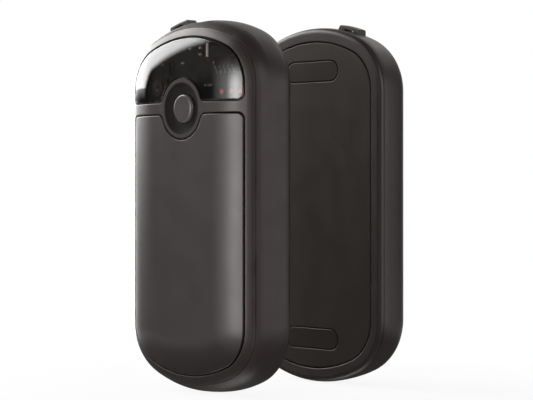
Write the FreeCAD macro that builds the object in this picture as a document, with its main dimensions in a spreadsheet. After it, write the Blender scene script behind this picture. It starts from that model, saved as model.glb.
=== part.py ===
"""A magnet-joined pair of rechargeable hand warmers, built as two equal assemblies of separate pieces.

The origin is the centre of the left unit's flat mating face. +Z runs up the unit's length and +Y leaves the
mating face towards the right unit. Depth is counted from the mating face towards the unit's own front.
"""
import FreeCAD
import Part
import Sketcher
import math
import os

Vector = FreeCAD.Vector

# Lengths that differ by less than this count as equal
CLOSE = 1e-6
# A spot nearer than this to a surface lies on it
NEAR = 1e-3
# Share by which a wire's volume may differ from its length times its section
VOLUME_SHARE = 0.01

# Driving dimensions in millimetres, turns in degrees
SIZES = {
    # outline of a unit, seen from the front
    "half_width": 26.0,
    "half_height": 48.0,
    "corner_radius": 15.6,
    "crown_radius": 42.3,
    # side profile of a unit, from the widest plane to the flat of the front
    "widest_depth": 2.7,
    "side_radius": 26.0,
    "side_turn": 10.0,
    "edge_radius": 6.75,
    "edge_turn": 62.7,
    "flat_margin": 0.5,
    # seams between the outer pieces
    "front_drop": 3.95,
    "rear_parting_depth": 1.1,
    "seam_gap": 0.22,
    "fit_gap": 0.15,
    "overrun": 1.0,
    # shell
    "shell_wall": 1.8,
    "shell_lip": 1.5,
    "rear_side_radius": 6.0,
    # lanyard bridge on the shell's top edge
    "bridge_start": 7.4,
    "bridge_end": 13.9,
    "bridge_slope": 1.2,
    "bridge_depth": 3.4,
    "bridge_breadth": 3.2,
    "bridge_rise": 1.2,
    "bridge_bar": 0.8,
    "bridge_post": 1.6,
    "bridge_recess": 0.8,
    "bridge_groove_breadth": 5.6,
    "bridge_round": 0.45,
    # rear frame
    "rim_breadth": 3.75,
    "rear_ledge_breadth": 1.35,
    "seat_gap": 0.1,
    "rear_skirt_rise": 0.9,
    "rear_skirt_wall": 1.1,
    # back plate with its two oblong windows for the magnet covers
    "plate_thickness": 1.1,
    "panel_gap": 0.3,
    "magnet_drop": 11.9,
    "cover_length": 19.6,
    "cover_breadth": 5.4,
    "magnet_length": 16.0,
    "magnet_breadth": 4.4,
    "magnet_thickness": 2.1,
    # front bezel
    "opening_inset": 4.65,
    "bezel_wall": 1.6,
    "bezel_hollow_drop": 1.8,
    "ledge_setback": 1.85,
    "ledge_breadth": 1.9,
    "ledge_thickness": 1.4,
    "band_rise": 0.12,
    "band_breadth": 2.85,
    "opening_corner": 1.9,
    # button ring, dish and cap
    "button_drop": 23.05,
    "ring_breadth": 1.08,
    "dish_radius": 6.65,
    "dish_floor_breadth": 0.5,
    "dish_depth": 1.5,
    "boss_wall": 0.65,
    "boss_floor": 0.6,
    "cap_radius": 3.72,
    "cap_gap": 0.28,
    "cap_recess": 0.3,
    "cap_edge": 0.75,
    "cap_flange_breadth": 0.98,
    "cap_flange_thickness": 0.6,
    "stem_radius": 1.5,
    "stem_length": 0.6,
    # push switch
    "plunger_radius": 1.1,
    "plunger_length": 1.3,
    "plunger_reach": 0.65,
    "plunger_gap": 0.1,
    "switch_side": 5.2,
    "switch_thickness": 1.5,
    "switch_floor": 0.25,
    # window and front plate
    "window_wall": 1.4,
    "front_plate_wall": 1.0,
    "edge_round": 0.25,
    # heating films and foam pads
    "heater_thickness": 0.3,
    "rear_pad_thickness": 0.8,
    "front_pad_thickness": 1.45,
    "film_inset": 1.0,
    "film_margin": 0.9,
    "film_tail": 1.8,
    "film_foot_gap": 0.5,
    # battery cell
    "cell_margin": 9.5,
    "cell_gap": 2.6,
    "cell_foot_margin": 16.5,
    "cell_round": 1.2,
    # chassis
    "chassis_gap": 0.3,
    "chassis_thickness": 1.2,
    "rib_thickness": 1.0,
    "rib_gap": 6.0,
    "foot_rib_length": 20.0,
    "rib_rise": 4.0,
    "post_radius": 1.8,
    "lead_hole_radius": 0.9,
    # screws
    "case_screw_edge": 7.1,
    "case_screw_drop": 3.0,
    "case_screw_foot": 21.0,
    "case_boss_radius": 1.9,
    "case_shank_radius": 0.85,
    "case_shank_length": 5.0,
    "case_head_radius": 1.6,
    "case_head_thickness": 0.9,
    "screw_gap": 0.08,
    "board_screw_edge": 4.1,
    "board_screw_rise": 3.9,
    "board_shank_radius": 0.75,
    "board_shank_length": 3.6,
    "board_head_radius": 1.5,
    "board_head_thickness": 0.9,
    # circuit board and what it carries
    "board_inset": 6.4,
    "board_tail": 8.35,
    "board_thickness": 1.0,
    "prop_edge": 7.0,
    "prop_drop": 4.6,
    "led_edge": 2.9,
    "led_pitch": 3.45,
    "led_rise": 2.5,
    "led_breadth": 1.6,
    "led_side": 1.6,
    "led_thickness": 0.8,
    "bar_reach": 4.6,
    "bar_drop": 0.6,
    "bar_length": 3.4,
    "bar_breadth": 0.5,
    "bar_thickness": 0.35,
    "controller_edge": 2.02,
    "controller_drop": 0.4,
    "controller_length": 6.8,
    "controller_breadth": 1.9,
    "controller_thickness": 1.3,
    "pin_length": 2.0,
    "pin_breadth": 0.7,
    "pin_pitch": 1.6,
    "pin_thickness": 0.25,
    "coil_edge": 6.6,
    "coil_drop": 11.1,
    "coil_side": 5.0,
    "coil_thickness": 1.9,
    "charger_edge": 3.92,
    "charger_drop": 0.7,
    "charger_side": 3.4,
    "charger_thickness": 0.9,
    "chip_length": 0.9,
    "chip_breadth": 0.55,
    "chip_thickness": 0.45,
    # charging socket
    "usb_width": 8.94,
    "usb_thickness": 3.26,
    "usb_length": 7.2,
    "usb_wall": 0.3,
    "usb_setback": 1.2,
    "usb_tongue_width": 6.7,
    "usb_tongue_thickness": 0.7,
    "usb_tongue_length": 5.6,
    "usb_floor": 1.0,
    # wires
    "lead_radius": 0.5,
    "lead_bend": 1.3,
    "lead_reach": 5.0,
    "rear_lead_reach": 9.0,
    "lead_seat": 0.05,
    "lead_landing": 1.7,
    "cell_lead_reach": 3.5,
    "cell_lead_drop": 1.65,
    "cell_lead_landing": 2.8,
    # thermistor
    "sensor_length": 2.0,
    "sensor_breadth": 1.2,
    "sensor_thickness": 0.5,
    # distance between the two mating faces at rest
    "pair_gap": 31.8,
}

# Places that follow from the driving dimensions
PLACES = {
    "corner_x": "size.half_width - size.corner_radius",
    "crown_z": "size.half_height - size.crown_radius",
    "corner_z": "crown_z + sqrt((size.crown_radius - size.corner_radius) ^ 2 - corner_x ^ 2)",
    "lean_x": "corner_x / (size.crown_radius - size.corner_radius)",
    "lean_z": "(corner_z - crown_z) / (size.crown_radius - size.corner_radius)",
    "edge_x": "size.half_width - size.side_radius * (1 - cos(size.side_turn))",
    "edge_depth": "size.widest_depth + size.side_radius * sin(size.side_turn)",
    "edge_centre_x": "edge_x - size.edge_radius * cos(size.side_turn)",
    "edge_centre_depth": "edge_depth - size.edge_radius * sin(size.side_turn)",
    "face_x": "corner_x + size.flat_margin",
    "face_edge_x": "edge_centre_x + size.edge_radius * cos(size.edge_turn)",
    "face_radius": "(face_edge_x - face_x) / cos(size.edge_turn)",
    "face_edge_depth": "edge_centre_depth + size.edge_radius * sin(size.edge_turn)",
    "thickness": "face_edge_depth + face_radius * (1 - sin(size.edge_turn))",
    "front_parting": "thickness - size.front_drop",
    "parting_x": "edge_centre_x + sqrt(size.edge_radius ^ 2 - (front_parting - edge_centre_depth) ^ 2)",
    "bezel_floor": "front_parting - size.bezel_hollow_drop",
    "ledge_inset": "size.half_width - parting_x + size.ledge_setback",
    "shell_front": "front_parting - size.seam_gap",
    "shell_front_x": "edge_centre_x + sqrt(size.edge_radius ^ 2 - (shell_front - edge_centre_depth) ^ 2)",
    "shell_rear": "size.rear_parting_depth + size.seam_gap",
    "rear_drop": "size.widest_depth - shell_rear",
    "shell_rear_x": "size.half_width - size.rear_side_radius + sqrt(size.rear_side_radius ^ 2 - rear_drop ^ 2)",
    "shell_inner_x": "size.half_width - size.shell_wall",
    "rim_drop": "size.widest_depth - size.rear_parting_depth",
    "rim_sine": "rim_drop / size.rear_side_radius",
    "rim_edge_x": "size.half_width - size.rear_side_radius * (1 - sqrt(1 - rim_sine ^ 2))",
    "rim_round": "size.rear_parting_depth / (1 - rim_sine)",
    "rim_flat_x": "rim_edge_x - rim_round * sqrt(1 - rim_sine ^ 2)",
    "rim_inner_x": "size.half_width - size.rim_breadth",
    "rear_skirt_x": "shell_inner_x - size.fit_gap",
    "rear_skirt_inner_x": "rear_skirt_x - size.rear_skirt_wall",
    "rear_ledge_x": "rim_inner_x - size.rear_ledge_breadth",
    "rear_ledge_front": "chassis_rear - size.seat_gap",
    "rear_skirt_front": "chassis_rear + size.rear_skirt_rise",
    "piece_inset": "size.opening_inset + size.panel_gap",
    "band_top": "band_height + size.band_breadth / 2",
    "band_foot": "band_height - size.band_breadth / 2",
    "ledge_rear": "front_parting - size.ledge_thickness",
    "boss_front": "thickness - size.bezel_wall / 2",
    "boss_rear": "dish_floor - size.boss_floor",
    "dish_floor": "thickness - size.dish_depth",
    "dish_round": "((size.dish_radius - dish_floor_radius) ^ 2 + size.dish_depth ^ 2) / (2 * size.dish_depth)",
    "dish_lift": "(dish_round - size.dish_depth) / 2",
    "dish_lip_radius": "dish_floor_radius + sqrt(dish_round ^ 2 - dish_lift ^ 2)",
    "cap_front": "thickness - size.cap_recess",
    "flange_front": "boss_rear - size.fit_gap",
    "flange_rear": "flange_front - size.cap_flange_thickness",
    "stem_rear": "flange_rear - size.stem_length",
    "plunger_rear": "stem_rear - size.plunger_length",
    "switch_front": "stem_rear - size.plunger_reach",
    "board_front": "switch_front - size.switch_thickness",
    "board_rear": "board_front - size.board_thickness",
    "heater_front": "size.plate_thickness + size.heater_thickness",
    "chassis_rear": "heater_front + size.rear_pad_thickness",
    "chassis_front": "chassis_rear + size.chassis_thickness",
    "chassis_inset": "size.half_width - rear_skirt_inner_x + size.chassis_gap",
    "cell_front": "front_film_rear - size.front_pad_thickness",
    "cell_thickness": "cell_front - chassis_front",
    "cell_foot": "size.cell_foot_margin - size.half_height",
    "cell_length": "cell_top - cell_foot",
    "front_film_front": "thickness - size.front_plate_wall",
    "front_film_rear": "front_film_front - size.heater_thickness",
    "film_top": "cell_top + size.film_tail",
    "film_foot": "cell_foot + size.film_foot_gap",
    "lead_height": "cell_top + size.film_tail / 2",
    "usb_mid_depth": "board_rear - size.usb_thickness / 2",
    "usb_top": "size.half_height - size.usb_setback",
    "usb_foot": "usb_top - size.usb_length",
    "board_half_width": "size.half_width - size.board_inset",
    "board_top": "size.half_height - size.board_inset",
    "magnet_height": "size.half_height - size.magnet_drop",
    "button_height": "size.half_height - size.button_drop",
    "band_height": "button_height + size.band_rise",
    "ring_radius": "size.dish_radius + size.ring_breadth",
    "dish_hole_radius": "size.cap_radius + size.cap_gap",
    "dish_floor_radius": "dish_hole_radius + size.dish_floor_breadth",
    "boss_radius": "size.dish_radius + size.boss_wall",
    "cap_flange_radius": "size.cap_radius + size.cap_flange_breadth",
    "rear_film_half_width": "cell_half_width - size.film_inset",
    "front_film_half_width": "face_x - size.film_margin",
    "cell_half_width": "size.half_width - size.cell_margin",
    "cell_top": "board_foot - size.cell_gap",
    "case_screw_reach": "size.half_width - size.case_screw_edge",
    "case_screw_upper": "cell_top - size.case_screw_drop",
    "case_screw_lower": "size.half_height - size.case_screw_foot",
    "board_foot": "button_height - size.board_tail",
    "clear_inset": "ledge_inset + size.ledge_breadth",
    "clear_top": "size.half_height - clear_inset",
    "clear_rise": "clear_top - board_foot",
    "board_screw_reach": "board_half_width - size.board_screw_edge",
    "board_screw_height": "board_foot + size.board_screw_rise",
    "prop_reach": "board_half_width - size.prop_edge",
    "prop_height": "board_top - size.prop_drop",
    "led_reach": "size.half_width - clear_inset - size.led_edge",
    "led_height": "band_top + size.led_rise",
    "bar_foot": "clear_top - size.bar_drop - size.bar_length",
    "controller_foot": "bar_foot - size.controller_drop - size.controller_breadth",
    "shoulder_rise": "controller_foot + size.controller_breadth - corner_z",
    "shoulder_x": "corner_x + sqrt(max(0; (size.corner_radius - clear_inset) ^ 2 - shoulder_rise ^ 2))",
    "controller_reach": "shoulder_x - size.controller_edge - size.controller_length / 2",
    "coil_reach": "board_half_width - size.coil_edge",
    "coil_height": "board_top - size.coil_drop",
    "charger_reach": "shoulder_x - size.charger_edge - size.charger_side / 2",
    "charger_foot": "bar_foot - size.charger_drop - size.charger_side",
    "cell_lead_depth": "board_rear - size.cell_lead_drop",
    "front_film_foot": "size.film_foot_gap - corner_z",
    "rib_top": "case_screw_upper - size.case_boss_radius - size.rib_gap",
    "rib_foot": "size.case_boss_radius + size.rib_gap - case_screw_lower",
}


def new_sheet(name, cells):
    """A sheet with one aliased cell per row."""
    sheet = doc.addObject("Spreadsheet::Sheet", name)
    for row, (alias, content) in enumerate(cells.items(), 1):
        sheet.set(f"A{row}", alias)
        sheet.set(f"B{row}", content)
        sheet.setAlias(f"B{row}", alias)
    doc.recompute()
    return sheet


def value(expression):
    """What an expression of sheet cells comes to."""
    return float(place.evalExpression(str(expression)))


def bind(thing, **sizes):
    """Ties properties of an object to expressions."""
    for name, expression in sizes.items():
        thing.setExpression(name, str(expression))


def put(thing, x, depth, height):
    """Ties an object's position to expressions."""
    thing.setExpression("Placement.Base.x", str(x))
    thing.setExpression("Placement.Base.y", f"-({depth})")
    thing.setExpression("Placement.Base.z", str(height))


def turn_to_front(thing):
    """Points an object's own Z axis towards the unit's front."""
    thing.Placement = FreeCAD.Placement(Vector(), FreeCAD.Rotation(Vector(1, 0, 0), 90))


def arc_between(start, end, radius, side):
    """The short arc of a radius between two points, with its centre on the left (1) or right (-1)."""
    chord = end - start
    half = chord.Length / 2
    normal = Vector(-chord.y, chord.x, 0).normalize() * side
    centre = (start + end) / 2 + normal * math.sqrt(max(radius ** 2 - half ** 2, 0))
    # a sketch keeps its arcs anticlockwise
    begin, finish = (start, end) if side > 0 else (end, start)
    turns = [math.atan2(spot.y - centre.y, spot.x - centre.x) for spot in (begin, finish)]
    if turns[1] < turns[0]:
        turns[1] += 2 * math.pi
    return Part.ArcOfCircle(Part.Circle(centre, Vector(0, 0, 1), radius), *turns)


def draw(sketch, corners, arcs=None):
    """A closed outline whose corners and radii are pinned to expressions.

    arcs gives, for the stretch that starts at a corner, its radius and the side of its centre.
    """
    arcs = arcs or {}
    first = sketch.GeometryCount
    spots = [Vector(value(x), value(y), 0) for x, y in corners]
    count = len(spots)
    for i, spot in enumerate(spots):
        after = spots[(i + 1) % count]
        if i in arcs:
            radius, side = arcs[i]
            sketch.addGeometry(arc_between(spot, after, value(radius), side), False)
        else:
            sketch.addGeometry(Part.LineSegment(spot, after), False)
    clockwise = {i for i, (radius, side) in arcs.items() if side < 0}
    ends = [(2, 1) if i in clockwise else (1, 2) for i in range(count)]
    for i in range(count):
        after = (i + 1) % count
        link = Sketcher.Constraint("Coincident", first + i, ends[i][1], first + after, ends[after][0])
        sketch.addConstraint(link)
    for i, (x, y) in enumerate(corners):
        pins = (("DistanceX", -2, x, spots[i].x), ("DistanceY", -1, y, spots[i].y))
        for kind, axis, expression, at in pins:
            if expression == "0":
                sketch.addConstraint(Sketcher.Constraint("PointOnObject", first + i, ends[i][0], axis))
                continue
            pin = Sketcher.Constraint(kind, -1, 1, first + i, ends[i][0], at)
            sketch.setExpression(f"Constraints[{sketch.addConstraint(pin)}]", expression)
        if i not in arcs:
            continue
        radius = value(arcs[i][0])
        chord = (spots[(i + 1) % count] - spots[i]).Length
        if radius - chord / 2 < CLOSE:
            # a half turn is held by its centre, which is level with its ends
            sketch.addConstraint(Sketcher.Constraint("Vertical", first + i, ends[i][0], first + i, 3))
            continue
        bend = Sketcher.Constraint("Radius", first + i, radius)
        sketch.setExpression(f"Constraints[{sketch.addConstraint(bend)}]", arcs[i][0])


def circle(sketch, radius, x="0", y="0"):
    """A circle pinned to expressions."""
    centre = Vector(value(x), value(y), 0)
    index = sketch.addGeometry(Part.Circle(centre, Vector(0, 0, 1), value(radius)), False)
    bend = sketch.addConstraint(Sketcher.Constraint("Radius", index, value(radius)))
    sketch.setExpression(f"Constraints[{bend}]", radius)
    for kind, axis, expression, at in (("DistanceX", -2, x, centre.x), ("DistanceY", -1, y, centre.y)):
        if expression == "0":
            sketch.addConstraint(Sketcher.Constraint("PointOnObject", index, 3, axis))
            continue
        pin = sketch.addConstraint(Sketcher.Constraint(kind, -1, 1, index, 3, at))
        sketch.setExpression(f"Constraints[{pin}]", expression)


def new_body(label):
    body = doc.addObject("PartDesign::Body", label)
    body.Label = label
    return body


def new_sketch(body, role, depth="0"):
    """A sketch on one of the body's own origin planes, moved along that plane's normal by a depth."""
    sketch = body.newObject("Sketcher::SketchObject", f"{body.Name}_sketch")
    plane = next(feature for feature in body.Origin.OriginFeatures if feature.Role == role)
    sketch.AttachmentSupport = (plane, [""])
    sketch.MapMode = "FlatFace"
    if depth != "0":
        sketch.setExpression("AttachmentOffset.Base.z", depth)
    return sketch


def pad(body, sketch, length):
    feature = body.newObject("PartDesign::Pad", f"{body.Name}_pad")
    feature.Profile = sketch
    bind(feature, Length=length)
    sketch.Visibility = False
    return feature


def pocket(body, sketch, length, forward=False):
    """A cut against the sketch's normal, or along it."""
    feature = body.newObject("PartDesign::Pocket", f"{body.Name}_pocket")
    feature.Profile = sketch
    bind(feature, Length=length)
    feature.Reversed = forward
    return feature


def outline(inset):
    """The unit's outline, drawn in from the outer edge, as corners and arcs."""
    a = f"(size.half_width - {inset})"
    corner = f"size.corner_radius - {inset}"
    crown = f"size.crown_radius - {inset}"
    join_x = f"({crown}) * place.lean_x"
    join_z = f"(place.crown_z + ({crown}) * place.lean_z)"
    corners = [
        (a, "0"),
        (a, "place.corner_z"),
        (join_x, join_z),
        (f"-{join_x}", join_z),
        (f"-{a}", "place.corner_z"),
        (f"-{a}", "-place.corner_z"),
        (f"-{join_x}", f"-{join_z}"),
        (join_x, f"-{join_z}"),
        (a, "-place.corner_z"),
    ]
    arcs = {1: (corner, 1), 2: (crown, 1), 3: (corner, 1), 5: (corner, 1), 6: (crown, 1), 7: (corner, 1)}
    return corners, arcs


def arch(inset, level):
    """The part of an inset outline above a level."""
    corners, arcs = outline(inset)
    a = corners[0][0]
    chosen = [(a, level)] + corners[1:5] + [(f"-{a}", level)]
    return chosen, {i: arcs[i] for i in (1, 2, 3)}


def ring_sweep(body, corners, arcs):
    """A section in the plane of width and depth, carried round the unit's outline."""
    spine = new_sketch(body, "XZ_Plane")
    draw(spine, *outline("0"))
    section = new_sketch(body, "XY_Plane")
    draw(section, [(x, depth if depth == "0" else f"-({depth})") for x, depth in corners], arcs)
    doc.recompute()
    pipe = body.newObject("PartDesign::AdditivePipe", f"{body.Name}_pipe")
    pipe.Profile = section
    pipe.Spine = (spine, [])
    doc.recompute()
    return pipe


def plate(label, inset, depth, thickness):
    """A flat plate of the unit's outline."""
    body = new_body(label)
    sketch = new_sketch(body, "XZ_Plane", depth)
    draw(sketch, *outline(inset))
    pad(body, sketch, thickness)
    return body


def dome(label, inset, floor):
    """The crowned front form, drawn in by an inset, down to a floor depth."""
    body = new_body(label)
    round_edge = f"(size.edge_radius - {inset})"
    foot_x = f"place.edge_centre_x + sqrt({round_edge} ^ 2 - ({floor} - place.edge_centre_depth) ^ 2)"
    edge_x = f"place.edge_centre_x + {round_edge} * cos(size.edge_turn)"
    edge_depth = f"place.edge_centre_depth + {round_edge} * sin(size.edge_turn)"
    front = f"place.thickness - {inset}"
    corners = [(foot_x, floor), (edge_x, edge_depth), ("place.face_x", front), ("place.face_x", floor)]
    ring_sweep(body, corners, {0: (round_edge, -1), 1: (f"place.face_radius - {inset}", -1)})
    middle = new_sketch(body, "XZ_Plane", floor)
    draw(middle, *outline("(size.corner_radius - size.flat_margin)"))
    pad(body, middle, f"{front} - {floor}")
    return body


def block(label, length, depth, breadth, x, depth_from, z):
    """A box given by its width, depth and height, centred on x, from a depth and a height on."""
    box = doc.addObject("Part::Box", label)
    box.Label = label
    bind(box, Length=length, Width=depth, Height=breadth)
    put(box, f"{x} - ({length}) / 2", f"{depth_from} + ({depth})", z)
    return box


def peg(label, radius, length, x, depth, z):
    """A cylinder that runs from a depth towards the front."""
    cylinder = doc.addObject("Part::Cylinder", label)
    cylinder.Label = label
    turn_to_front(cylinder)
    bind(cylinder, Radius=radius, Height=length)
    put(cylinder, x, depth, z)
    return cylinder


def taper(label, rear_radius, front_radius, length, x, depth, z):
    """A cone that runs from a depth towards the front."""
    cone = doc.addObject("Part::Cone", label)
    cone.Label = label
    turn_to_front(cone)
    bind(cone, Radius1=rear_radius, Radius2=front_radius, Height=length)
    put(cone, x, depth, z)
    return cone


def cut(label, base, tool):
    result = doc.addObject("Part::Cut", label)
    result.Label = label
    result.Base = base
    result.Tool = tool
    return result


def common(label, base, tool):
    result = doc.addObject("Part::Common", label)
    result.Label = label
    result.Base = base
    result.Tool = tool
    return result


def fuse(label, pieces):
    result = doc.addObject("Part::MultiFuse", label)
    result.Label = label
    result.Shapes = pieces
    result.Refine = True
    return result


def group(label, pieces):
    """Several separate solids that share one node."""
    result = doc.addObject("Part::Compound", label)
    result.Label = label
    result.Links = pieces
    return result


def rounded(label, base, radius, chosen):
    """A base with the edges that a test chooses rounded by a radius."""
    doc.recompute()
    result = doc.addObject("Part::Fillet", label)
    result.Label = label
    result.Base = base
    size_now = value(radius)
    edges = enumerate(base.Shape.Edges, 1)
    result.Edges = [(number, size_now, size_now) for number, edge in edges if chosen(base.Shape, edge)]
    return result


def middle_of(edge):
    return edge.valueAt((edge.FirstParameter + edge.LastParameter) / 2)


def front_rim(form):
    """A test for the edges where a wall meets the crowned front of a form."""
    skin = form.Shape.Shells[0]
    floor = value("place.front_parting + size.seam_gap")

    def chosen(shape, edge):
        spot = middle_of(edge)
        if -spot.y < floor or skin.distToShape(Part.Vertex(spot))[0] > NEAR:
            return False
        slopes = []
        for face in shape.ancestorsOfType(edge, Part.Face):
            slopes.append(abs(face.normalAt(*face.Surface.parameter(spot)).y))
        return min(slopes) < NEAR < max(slopes)

    return chosen


def on_mating_face(shape, edge):
    """Whether an edge bounds the flat mating face."""
    return abs(middle_of(edge).y) < CLOSE


def runs_along_depth(edge):
    """Whether an edge is straight and points from the mating face to the front."""
    ends = edge.Vertexes
    if len(ends) != 2 or edge.Curve.TypeId != "Part::GeomLine":
        return False
    run = ends[1].Point - ends[0].Point
    return abs(run.x) + abs(run.z) < CLOSE


def opening(label, inset, level, up, ring, corner):
    """The prism of a window or panel: the outline above, or below, a level, with rounded corners.

    The button's ring takes a round bite out of it.
    """
    reach = "place.thickness - place.bezel_floor + 2 * size.overrun"
    whole = plate(f"{label}_outline", inset, "place.bezel_floor - size.overrun", reach)
    start = "place.bezel_floor - 2 * size.overrun"
    longer = f"{reach} + 2 * size.overrun"
    foot = level if up else f"{level} - 2 * size.half_height"
    side = block(f"{label}_side", "2 * size.half_width", longer, "2 * size.half_height", "0", start, foot)
    bite = peg(f"{label}_bite", ring, longer, "0", start, "place.button_height")
    bitten = cut(f"{label}_bitten", common(f"{label}_part", whole, side), bite)
    middle = value(level)

    def at_level(shape, edge):
        return runs_along_depth(edge) and abs(edge.Vertexes[0].Z - middle) < CLOSE

    return rounded(f"{label}_prism", bitten, corner, at_level)


def make_shell():
    """The side wall of the case, with the lanyard bridge and the charging opening."""
    body = new_body("shell_sharp")
    corners = [
        ("place.shell_rear_x", "place.shell_rear"),
        ("size.half_width", "size.widest_depth"),
        ("place.edge_x", "place.edge_depth"),
        ("place.shell_front_x", "place.shell_front"),
        ("place.shell_front_x - size.shell_lip", "place.shell_front"),
        ("place.shell_inner_x", "place.edge_depth"),
        ("place.shell_inner_x", "place.shell_rear"),
    ]
    arcs = {0: ("size.rear_side_radius", -1), 1: ("size.side_radius", -1), 2: ("size.edge_radius", -1)}
    ring_sweep(body, corners, arcs)
    on_crown = lambda x, radius: f"(place.crown_z + sqrt(({radius}) ^ 2 - ({x}) ^ 2))"
    sunk = "size.crown_radius - size.shell_wall / 2"
    proud = "size.crown_radius + size.bridge_rise"
    near = "size.bridge_start - size.bridge_slope"
    bridge = new_sketch(body, "XZ_Plane", "size.bridge_depth")
    draw(bridge, [
        (f"-({near})", on_crown(near, sunk)),
        ("-size.bridge_start", on_crown("size.bridge_start", proud)),
        ("-size.bridge_end", on_crown("size.bridge_end", proud)),
        ("-size.bridge_end", on_crown("size.bridge_end", sunk)),
    ], {1: (proud, 1), 3: (sunk, -1)})
    pad(body, bridge, "size.bridge_breadth")
    low = "size.crown_radius - size.bridge_recess"
    high = "size.crown_radius + size.bridge_rise - size.bridge_bar"
    slot_start = "size.bridge_start + size.bridge_post"
    slot_end = "size.bridge_end - size.bridge_post"
    groove_front = "size.bridge_depth + (size.bridge_breadth + size.bridge_groove_breadth) / 2"
    slot = new_sketch(body, "XZ_Plane", groove_front)
    draw(slot, [
        (f"-({slot_start})", on_crown(slot_start, low)),
        (f"-({slot_start})", on_crown(slot_start, high)),
        (f"-({slot_end})", on_crown(slot_end, high)),
        (f"-({slot_end})", on_crown(slot_end, low)),
    ], {1: (high, 1), 3: (low, -1)})
    pocket(body, slot, "size.bridge_groove_breadth")
    half_width = "size.usb_width / 2 + size.fit_gap"
    half_depth = "(size.usb_thickness / 2 + size.fit_gap)"
    straight = f"({half_width} - {half_depth})"
    socket = new_sketch(body, "XY_Plane")
    draw(socket, [
        (f"-{straight}", f"-(place.usb_mid_depth + {half_depth})"),
        (straight, f"-(place.usb_mid_depth + {half_depth})"),
        (straight, f"-(place.usb_mid_depth - {half_depth})"),
        (f"-{straight}", f"-(place.usb_mid_depth - {half_depth})"),
    ], {1: (half_depth, 1), 3: (half_depth, 1)})
    pocket(body, socket, "size.half_height + size.overrun", forward=True)
    crown_z = value("place.crown_z")
    bridge_radius = value(proud)

    def on_bridge_top(shape, edge):
        reaches = [math.hypot(corner.X, corner.Z - crown_z) for corner in edge.Vertexes]
        return all(abs(reach - bridge_radius) < NEAR for reach in reaches)

    return rounded("left_shell", body, "size.bridge_round", on_bridge_top)


def make_rear_frame():
    """The rim of the mating face, with the ledge that carries the back plate."""
    body = new_body("left_rear_frame")
    ring_sweep(body, [
        ("place.rim_inner_x", "size.edge_round"),
        ("place.rim_inner_x + size.edge_round", "0"),
        ("place.rim_flat_x", "0"),
        ("place.rim_edge_x", "size.rear_parting_depth"),
        ("place.rear_skirt_x", "size.rear_parting_depth"),
        ("place.rear_skirt_x", "place.rear_skirt_front"),
        ("place.rear_skirt_inner_x", "place.rear_skirt_front"),
        ("place.rear_skirt_inner_x", "place.rear_ledge_front"),
        ("place.rear_ledge_x", "place.rear_ledge_front"),
        ("place.rear_ledge_x", "size.plate_thickness"),
        ("place.rim_inner_x", "size.plate_thickness"),
    ], {0: ("size.edge_round", -1), 2: ("place.rim_round", -1)})
    return body


def oblong(sketch, length, breadth, height):
    """An oblong with round ends, lying across the unit at a height."""
    straight = f"(({length}) - ({breadth})) / 2"
    half = f"({breadth}) / 2"
    draw(sketch, [
        (f"-{straight}", f"{height} - {half}"),
        (straight, f"{height} - {half}"),
        (straight, f"{height} + {half}"),
        (f"-{straight}", f"{height} + {half}"),
    ], {1: (half, 1), 3: (half, 1)})


MAGNET_HEIGHTS = {"upper": "place.magnet_height", "lower": "-place.magnet_height"}


def make_back_plate():
    """The flat heat plate of the mating face, open for the magnet covers."""
    body = plate("back_plate_sharp", "(size.rim_breadth + size.panel_gap)", "0", "size.plate_thickness")
    for height in MAGNET_HEIGHTS.values():
        sketch = new_sketch(body, "XZ_Plane")
        oblong(sketch, "size.cover_length + 2 * size.fit_gap", "size.cover_breadth + 2 * size.fit_gap", height)
        pocket(body, sketch, "size.plate_thickness", forward=True)
    return rounded("left_back_plate", body, "size.edge_round", on_mating_face)


def make_magnet_covers():
    covers = []
    for name, height in MAGNET_HEIGHTS.items():
        body = new_body(f"{name}_cover")
        sketch = new_sketch(body, "XZ_Plane")
        oblong(sketch, "size.cover_length", "size.cover_breadth", height)
        pad(body, sketch, "size.plate_thickness")
        covers.append(rounded(f"{name}_cover_rounded", body, "size.edge_round", on_mating_face))
    return group("left_magnet_covers", covers)


def make_magnets():
    bars = []
    for name, height in MAGNET_HEIGHTS.items():
        bars.append(block(f"{name}_magnet", "size.magnet_length", "size.magnet_thickness",
                          "size.magnet_breadth", "0", "size.plate_thickness",
                          f"{height} - size.magnet_breadth / 2"))
    return group("left_magnets", bars)


SCREW_HEIGHTS = ("place.case_screw_upper", "-place.case_screw_lower")
SCREW_SPOTS = [(side, height) for side in ("", "-") for height in SCREW_HEIGHTS]


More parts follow.
